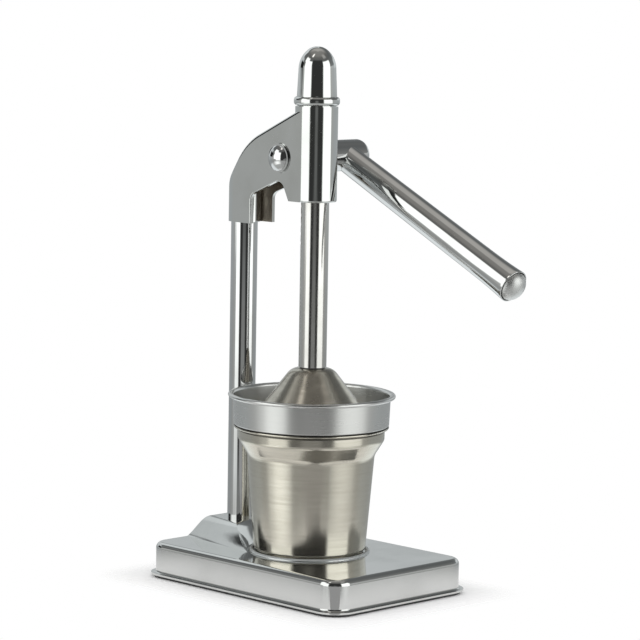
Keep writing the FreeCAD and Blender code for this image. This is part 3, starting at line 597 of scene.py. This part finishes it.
polishedBase = polishedMetal("polishedBase", {
    "colour": (0.66, 0.665, 0.655), "hazeColour": (0.605, 0.61, 0.60), "roughness": (0.06, 0.11),
    "hazeScale": 22, "hairScale": 80, "hairStretch": (1, 12, 1), "hairRough": 0.05,
    "waveScale": 30, "waveDepth": 0.00006,
})
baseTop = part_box("cup")[0].z
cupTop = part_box("cup")[1].z
markBand(polishedBase, {       # satin bead round the cup's foot
    "height": (baseTop + 0.0002, baseTop + 0.002), "reach": (0.0375, 0.0418), "soft": 0.0002, "share": 1.0,
    "colour": (0.71, 0.73, 0.735), "roughness": 0.65,
})
# near-black painted shade for the seams and the corner round the cup's lip and the bowl
paintedSeamShade = {"colour": (0.03, 0.028, 0.024), "roughness": 0.6, "soft": 0.0002}
cupSteel = spunSteel("cupSteel", {
    "colour": (0.668, 0.635, 0.553), "streakColour": (0.555, 0.524, 0.447), "roughness": (0.15, 0.21),
    "anisotropic": 0.6, "streakLength": 1.5, "streakFine": 560, "ringFine": 200, "stainScale": 26,
    "stainRough": 0.04, "streakDepth": 0.000002, "ringDepth": 0.000006,
})
# painted shade on the lip, under the bowl
markBand(cupSteel, {           # on the lip, under the bowl
    **paintedSeamShade, "height": (cupTop - 0.0003, cupTop + 0.001), "reach": (0.045, 0.06), "share": 0.9,
})
# painted shade in the corner under the lip, where the lip's shadow falls
markBand(cupSteel, {           # in the corner under the lip
    **paintedSeamShade, "height": (cupTop - 0.0031, cupTop - 0.0015), "reach": (0.0485, 0.0512), "share": 0.8,
})
bellSteel = spunSteel("bellSteel", {
    "colour": (0.595, 0.563, 0.493), "streakColour": (0.42, 0.395, 0.342), "roughness": (0.21, 0.265),
    "anisotropic": 0.75, "streakLength": 2, "streakFine": 480, "ringFine": 220, "stainScale": 40,
    "stainRough": 0.03, "streakDepth": 0.0000001, "ringDepth": 0.0000015,
})
bowlSteel = spunSteel("bowlSteel", {
    "colour": (0.685, 0.685, 0.67), "streakColour": (0.655, 0.655, 0.64), "roughness": (0.27, 0.285),
    "anisotropic": 0.4, "streakLength": 2, "streakFine": 700, "ringFine": 120, "stainScale": 34,
    "stainRough": 0.03, "streakDepth": 0.00000005, "ringDepth": 0.0000004,
})
# painted shade in the seam over the cup's lip
markBand(bowlSteel, {          # in the seam over the cup's lip
    **paintedSeamShade, "height": (cupTop - 0.001, cupTop + 0.0009), "reach": (0.0495, 0.06), "share": 0.9,
})
strainerSteel = spunSteel("strainerSteel", {
    "colour": (0.66, 0.66, 0.64), "streakColour": (0.56, 0.56, 0.54), "roughness": (0.22, 0.32),
    "anisotropic": 0.5, "streakLength": 3, "streakFine": 1500, "ringFine": 200, "stainScale": 40,
    "stainRough": 0.05, "streakDepth": 0.000003, "ringDepth": 0.000006,
})
gearSteel = plainSurface("gearSteel", {
    "colour": (0.42, 0.42, 0.41), "patchColour": (0.25, 0.23, 0.20), "metallic": 1,
    "roughness": (0.24, 0.40), "patchScale": 140, "grainScale": 900, "grainDepth": 0.00001,
})
fastenerZinc = plainSurface("fastenerZinc", {
    "colour": (0.62, 0.63, 0.64), "patchColour": (0.54, 0.54, 0.50), "metallic": 1,
    "roughness": (0.26, 0.42), "patchScale": 160, "grainScale": 1100, "grainDepth": 0.00001,
})
bushBronze = plainSurface("bushBronze", {
    "colour": (0.56, 0.40, 0.19), "patchColour": (0.38, 0.26, 0.12), "metallic": 1,
    "roughness": (0.30, 0.46), "patchScale": 150, "grainScale": 1400, "grainDepth": 0.00001,
})
# near-black painted shade, for the gap between the lever rod's lip and its end cap
lipGapShade = plainSurface("lipGapShade", {
    "colour": (0.03, 0.028, 0.024), "patchColour": (0.05, 0.045, 0.04), "metallic": 0,
    "roughness": (0.5, 0.7), "patchScale": 200, "grainScale": 1500, "grainDepth": 0.00001,
})
# near-black washer under the ram, whose black paints the shaded gap between the ram and the bell
seatShadeBlack = plainSurface("seatShadeBlack", {
    "colour": (0.05, 0.05, 0.05), "patchColour": (0.08, 0.075, 0.07), "metallic": 0,
    "roughness": (0.40, 0.55), "patchScale": 180, "grainScale": 1500, "grainDepth": 0.00001,
})
footRubber = plainSurface("footRubber", {
    "colour": (0.022, 0.022, 0.023), "patchColour": (0.04, 0.04, 0.04), "metallic": 0,
    "roughness": (0.55, 0.75), "patchScale": 70, "grainScale": 1300, "grainDepth": 0.00003,
})
print("materials made")


# Strainer cone, one slotted sector repeated round the ram's axis

strainer = {
    "count": 20,
    "sheet": 0.0008,
    "height": 0.032,
    "flangeRound": 0.003,
    "noseRadius": 0.009,
    "noseRound": 0.008,
    "footInset": 0.007,          # from the flange's edge to where the cone rises
    "slotWidth": 0.0022,
    "slotHeights": (0.005, 0.020),
    "slotMargin": 0.0008,
    "slotShare": 0.45,           # most of a half sector that the slot's columns may take
    "noseRings": (0.25, 0.1),    # rows on the flat nose, as shares of its radius
    "arcSteps": 6,
    "sideSteps": 2,
    "roundSteps": 8,
    "sharpAngle": 35,
    "mergeDistance": 0.000004,
}


def roundedCorner(before, corner, after, radius, steps):
    # points on the round between two straight runs
    toBefore = (before - corner).normalized()
    toAfter = (after - corner).normalized()
    half = toBefore.angle(toAfter) / 2
    reach = radius / math.tan(half)
    centre = corner + (toBefore + toAfter).normalized() * (radius / math.sin(half))
    start = corner + toBefore * reach - centre
    end = corner + toAfter * reach - centre
    sweep = start.angle_signed(end)
    return [centre + Matrix.Rotation(-sweep * i / steps, 2) @ start for i in range(steps + 1)]


def coneProfile(size, low, high):
    # outer line from the flange's edge to the nose as (reach, height), and the corners that shape it
    edge = (high.x - low.x) / 2
    flange = Vector((edge, low.z + size["sheet"]))
    foot = Vector((edge - size["footInset"], flange.y))
    nose = Vector((size["noseRadius"], low.z + size["height"]))
    tip = Vector((0, nose.y))
    line = [flange]
    line += roundedCorner(flange, foot, nose, size["flangeRound"], size["roundSteps"])
    line += roundedCorner(foot, nose, tip, size["noseRound"], size["roundSteps"])
    return line, foot, nose, tip


def makeSector(size, low, high):
    line, foot, nose, tip = coneProfile(size, low, high)
    split = size["roundSteps"] + 2
    slope = (nose - foot).normalized()
    half = size["slotWidth"] / 2
    slotLow = foot + slope * ((size["slotHeights"][0] - size["sheet"]) / slope.y)
    slotHigh = foot + slope * ((size["slotHeights"][1] - size["sheet"]) / slope.y)
    margin = size["slotMargin"]
    # the slot's own rows stand between the two rounds
    rows = line[:split]
    rows += [slotLow - slope * margin, slotLow + slope * half]
    rows += [slotHigh - slope * half, slotHigh + slope * margin]
    rows += line[split:]
    rows += [tip + Vector((size["noseRadius"] * share, 0)) for share in size["noseRings"]]
    lowRow, highRow = split + 1, split + 2
    wedge = math.pi / size["count"]
    arcs = size["arcSteps"]
    inner = [-math.cos(math.pi * i / arcs) for i in range(arcs + 1)]

    def turnsAt(row):
        slotTurn = min(half / row.x, wedge * size["slotShare"])
        steps = size["sideSteps"]
        sides = [slotTurn + (wedge - slotTurn) * (i + 1) / steps for i in range(steps)]
        return [-side for side in reversed(sides)] + [slotTurn * share for share in inner] + sides

    def place(at, turn, depth):
        # a point of a row, with depth measured into the sheet
        row = rows[at]
        x, z = row.x, row.y
        if depth:
            ahead = rows[min(at + 1, len(rows) - 1)] - row
            behind = row - rows[max(at - 1, 0)]
            way = (ahead.normalized() + behind.normalized()).normalized()
            x, z = x - way.y * depth, z + way.x * depth
        return Vector((x * math.sin(turn), -x * math.cos(turn), z))

    build = bmesh.new()
    skins = []
    for depth in (0, size["sheet"]):
        grid = []
        for i, row in enumerate(rows):
            turns = turnsAt(row)
            points = []
            for j, turn in enumerate(turns):
                k = j - size["sideSteps"]
                bulge = 0
                if 0 <= k <= arcs and i in (lowRow, highRow):
                    bulge = half * math.sin(math.pi * k / arcs) * (1 if i == highRow else -1)
                spot = place(i, turn, depth)
                if bulge:
                    moved = row + slope * bulge
                    turn = half * inner[k] / moved.x
                    shift = place(i, 0, depth) - place(i, 0, 0)
                    reach = moved.x - shift.y
                    spot = Vector((reach * math.sin(turn), -reach * math.cos(turn), moved.y + shift.z))
                points.append(build.verts.new(spot))
            grid.append(points)
        top = build.verts.new(Vector((0, 0, tip.y - depth)))
        skins.append((grid, top))
    columns = len(skins[0][0][0])
    slotColumns = range(size["sideSteps"], size["sideSteps"] + arcs)
    for grid, top in skins:
        for i in range(len(rows) - 1):
            for j in range(columns - 1):
                if i == lowRow and j in slotColumns:
                    continue
                build.faces.new((grid[i][j], grid[i][j + 1], grid[i + 1][j + 1], grid[i + 1][j]))
        for j in range(columns - 1):
            build.faces.new((grid[-1][j], grid[-1][j + 1], top))
    outer, inside = skins[0][0], skins[1][0]
    for j in range(columns - 1):
        build.faces.new((outer[0][j], outer[0][j + 1], inside[0][j + 1], inside[0][j]))
    for j in slotColumns:
        for i in (lowRow, highRow):
            build.faces.new((outer[i][j], outer[i][j + 1], inside[i][j + 1], inside[i][j]))
    for j in (slotColumns[0], slotColumns[-1] + 1):
        build.faces.new((outer[lowRow][j], outer[highRow][j], inside[highRow][j], inside[lowRow][j]))
    mesh = bpy.data.meshes.new("strainerSector")
    build.to_mesh(mesh)
    build.free()
    sector = bpy.data.objects.new("strainerSector", mesh)
    scene.collection.objects.link(sector)
    return sector


def sectorTree(steel):
    # repeats a sector about an axis and closes the seams
    tree = bpy.data.node_groups.new("strainerRing", "GeometryNodeTree")
    kinds = {
        "Mesh": "NodeSocketGeometry",
        "Sector": "NodeSocketObject",
        "Count": "NodeSocketInt",
        "Axis": "NodeSocketVector",
        "Merge Distance": "NodeSocketFloat",
        "Sharp Angle": "NodeSocketFloat",
    }
    for name, kind in kinds.items():
        tree.interface.new_socket(name=name, in_out="INPUT", socket_type=kind)
    tree.interface.new_socket(name="Mesh", in_out="OUTPUT", socket_type="NodeSocketGeometry")
    inputs = addNode(tree, "NodeGroupInput")
    outputs = addNode(tree, "NodeGroupOutput")
    points = addNode(tree, "GeometryNodePoints")
    index = addNode(tree, "GeometryNodeInputIndex")
    sector = addNode(tree, "GeometryNodeObjectInfo")
    turn = addNode(tree, "ShaderNodeCombineXYZ")
    place = addNode(tree, "GeometryNodeInstanceOnPoints")
    real = addNode(tree, "GeometryNodeRealizeInstances")
    merge = addNode(tree, "GeometryNodeMergeByDistance")
    bend = addNode(tree, "GeometryNodeInputMeshEdgeAngle")
    soft = addNode(tree, "FunctionNodeCompare", data_type="FLOAT", operation="LESS_THAN")
    smooth = addNode(tree, "GeometryNodeSetShadeSmooth", domain="EDGE")
    paint = addNode(tree, "GeometryNodeSetMaterial", Material=steel)
    step = mathNode(tree, "DIVIDE", 2 * math.pi, inputs.outputs["Count"])
    links = tree.links
    links.new(inputs.outputs["Count"], points.inputs["Count"])
    links.new(inputs.outputs["Axis"], points.inputs["Position"])
    links.new(inputs.outputs["Sector"], sector.inputs["Object"])
    links.new(mathNode(tree, "MULTIPLY", index.outputs[0], step), turn.inputs["Z"])
    links.new(points.outputs[0], place.inputs["Points"])
    links.new(sector.outputs["Geometry"], place.inputs["Instance"])
    links.new(turn.outputs[0], place.inputs["Rotation"])
    links.new(place.outputs[0], real.inputs[0])
    links.new(real.outputs[0], merge.inputs["Geometry"])
    links.new(inputs.outputs["Merge Distance"], merge.inputs["Distance"])
    links.new(bend.outputs["Unsigned Angle"], soft.inputs["A"])
    links.new(inputs.outputs["Sharp Angle"], soft.inputs["B"])
    links.new(merge.outputs[0], smooth.inputs["Geometry"])
    links.new(soft.outputs[0], smooth.inputs["Shade Smooth"])
    links.new(smooth.outputs[0], paint.inputs["Geometry"])
    links.new(paint.outputs[0], outputs.inputs[0])
    return tree


def makeStrainer(size, steel):
    low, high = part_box("strainer_cone")
    sector = makeSector(size, low, high)
    holder = bpy.data.objects.new("strainerHolder", bpy.data.meshes.new("strainerHolder"))
    scene.collection.objects.link(holder)
    ring = holder.modifiers.new("ring", "NODES")
    ring.node_group = sectorTree(steel)
    values = {
        "Sector": sector,
        "Count": size["count"],
        "Axis": ramAxis,
        "Merge Distance": size["mergeDistance"],
        "Sharp Angle": math.radians(size["sharpAngle"]),
    }
    for socket in ring.node_group.interface.items_tree:
        if socket.in_out == "INPUT" and socket.name in values:
            ring[socket.identifier] = values[socket.name]
    ready = holder.evaluated_get(bpy.context.evaluated_depsgraph_get())
    mesh = bpy.data.meshes.new_from_object(ready)
    holder.modifiers.remove(ring)
    bpy.data.objects.remove(sector)
    bpy.data.objects.remove(holder)
    shape = bmesh.new()
    shape.from_mesh(mesh)
    bmesh.ops.recalc_face_normals(shape, faces=shape.faces)
    openEdges = sum(1 for edge in shape.edges if not edge.is_manifold)
    shape.to_mesh(mesh)
    shape.free()
    mesh.name = "strainerCone"
    cone = bpy.data.objects.new("strainerCone", mesh)
    scene.collection.objects.link(cone)
    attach(cone, "stand")
    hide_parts("strainer_cone")
    print("strainer cone:", len(mesh.polygons), "faces,", openEdges, "open edges")


makeStrainer(strainer, strainerSteel)


# Lever rod with its turned lip, and the domed cap that closes it

lever = {
    "rootRadius": 0.0095,
    "taper": 0.0009 / 0.163,         # gain in radius along the rod
    "wall": 0.0016,
    "flareStart": 0.146,
    "flareBend": 2.2,                # power of the flare's curve
    "lipAt": 0.1760,                 # from the axle
    "lipRadius": 0.0114,
    "lipRound": 0.0004,
    "lipLean": 0.0001,               # how far the lip's inner wall leans in
    "grooveDepth": 0.001,
    "mouthRadius": 0.0093,
    "boreTaper": 0.0004,
    "capRadius": 0.0101,
    "capPlug": 0.008,
    "capGap": 0.0001,
    "domeTop": 0.1827,
    "flareSteps": 16,
    "lipSteps": 8,
    "domeSteps": 14,
    "roundSteps": 96,
    "sharpAngle": 40,
}


def turnedPiece(name, line, size, saddle=0, closed=False):
    # a line of (reach, along) turned about the lever's axis; along None lies on the hub's barrel
    steps = size["roundSteps"]
    way = (middleOf("lever_end_cap") - middleOf("lever_rod")).normalized()
    start = middleOf("pinion_shaft")
    start.x = middleOf("lever_rod").x
    side = Vector((1, 0, 0))
    build = bmesh.new()
    rings = []
    for reach, along in line:
        ring = []
        for i in range(steps if reach else 1):
            turn = 2 * math.pi * i / steps
            off = side * math.cos(turn) * reach + way.cross(side) * math.sin(turn) * reach
            step = along if along is not None else math.sqrt(saddle ** 2 - (math.sin(turn) * reach) ** 2)
            ring.append(build.verts.new(start + off + way * step))
        rings.append(ring)
    pairs = list(zip(rings, rings[1:]))
    if closed:
        pairs.append((rings[-1], rings[0]))
    for row, (low, high) in enumerate(pairs):
        for i in range(steps):
            j = (i + 1) % steps
            corners = [low[i % len(low)], low[j % len(low)], high[j % len(high)], high[i % len(high)]]
            face = build.faces.new(list(dict.fromkeys(corners)))
            face.smooth = True
            face.material_index = row        # the row, until the piece gets its materials
    bmesh.ops.recalc_face_normals(build, faces=build.faces)
    mesh = bpy.data.meshes.new(name)
    build.to_mesh(mesh)
    build.free()
    mesh.set_sharp_from_angle(angle=math.radians(size["sharpAngle"]))
    piece = bpy.data.objects.new(name, mesh)
    scene.collection.objects.link(piece)
    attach(piece, "lever")
    return piece


def makeLeverRod(size, chrome, lipShade):
    axle = middleOf("pinion_shaft")
    corners = [corner.co for corner in nodes["lever_rod"].data.vertices]
    saddle = min(math.hypot(spot.y - axle.y, spot.z - axle.z) for spot in corners)
    lipAt, lip, fold = size["lipAt"], size["lipRadius"], size["lipRound"]
    groove = lipAt - size["grooveDepth"]
    flareEnd = size["rootRadius"] + size["taper"] * lipAt
    line = [(size["rootRadius"] + size["taper"] * saddle, None)]
    for i in range(size["flareSteps"] + 1):
        share = i / size["flareSteps"]
        along = size["flareStart"] + (lipAt - size["flareStart"]) * share
        flare = (lip - flareEnd) * share ** size["flareBend"]
        line.append((size["rootRadius"] + size["taper"] * along + flare, along))
    for i in range(1, size["lipSteps"] + 1):
        turn = math.pi * i / size["lipSteps"]
        line.append((lip - fold + math.cos(turn) * fold, lipAt + math.sin(turn) * fold))
    lipRow = len(line) - 1
    line += [(line[-1][0] - size["lipLean"], groove), (size["mouthRadius"], groove)]
    line.append((size["mouthRadius"] - size["boreTaper"], size["flareStart"]))
    line.append((size["rootRadius"] - size["wall"], None))
    rod = turnedPiece("leverRod", line, size, saddle, closed=True)
    rod.data.materials.append(chrome)
    rod.data.materials.append(lipShade)
    # faces round the inside of the lip take the near-black painted shade of the gap under the end cap
    for face in rod.data.polygons:
        face.material_index = 1 if lipRow - 1 <= face.material_index <= lipRow + 1 else 0
    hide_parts("lever_rod")


def makeEndCap(size, satin):
    gap = size["capGap"]
    groove = size["lipAt"] - size["grooveDepth"]
    plug = size["mouthRadius"] - gap
    plugEnd = groove - size["capPlug"]
    rise = size["domeTop"] - groove - 2 * gap
    line = [(0, plugEnd), (plug - size["boreTaper"], plugEnd), (plug, groove + gap)]
    for i in range(size["domeSteps"]):
        turn = math.pi / 2 * i / size["domeSteps"]
        line.append((size["capRadius"] * math.cos(turn), groove + 2 * gap + rise * math.sin(turn)))
    line.append((0, size["domeTop"]))
    cap = turnedPiece("leverEndCap", line, size)
    cap.data.materials.append(satin)
    for face in cap.data.polygons:
        face.material_index = 0
    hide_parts("lever_end_cap")


makeLeverRod(lever, chromeLever, lipGapShade)
makeEndCap(lever, satinCap)
print("lever rod and cap made")


# Finishes of the CAD nodes

finishes = [
    (polishedBase, "base_shell"),
    (footRubber, "foot_strip"),
    (chromeBar, "column"),
    (groundRam, "ram"),
    (chromeCasting, "head_casting top_cap"),
    (chromeLever, "lever_hub lever_rod axle_cap axle_washer"),
    (satinCap, "lever_end_cap"),
    (cupSteel, "cup"),
    (bowlSteel, "strainer_bowl"),
    (strainerSteel, "strainer_cone"),
    (bellSteel, "press_bell"),
    (gearSteel, "pinion pinion_shaft pinion_key"),
    (bushBronze, "shaft_bushes"),
    (seatShadeBlack, "bell_seat_washer"),
    (fastenerZinc, "stiffener_plate column_bolt column_washer column_spring_washer column_pin"),
    (fastenerZinc, "hub_set_screw bell_screw bell_washer"),
]
for finish, names in finishes:
    for name in names.split():
        nodes[name].data.materials.clear()
        nodes[name].data.materials.append(finish)
print("finishes set")
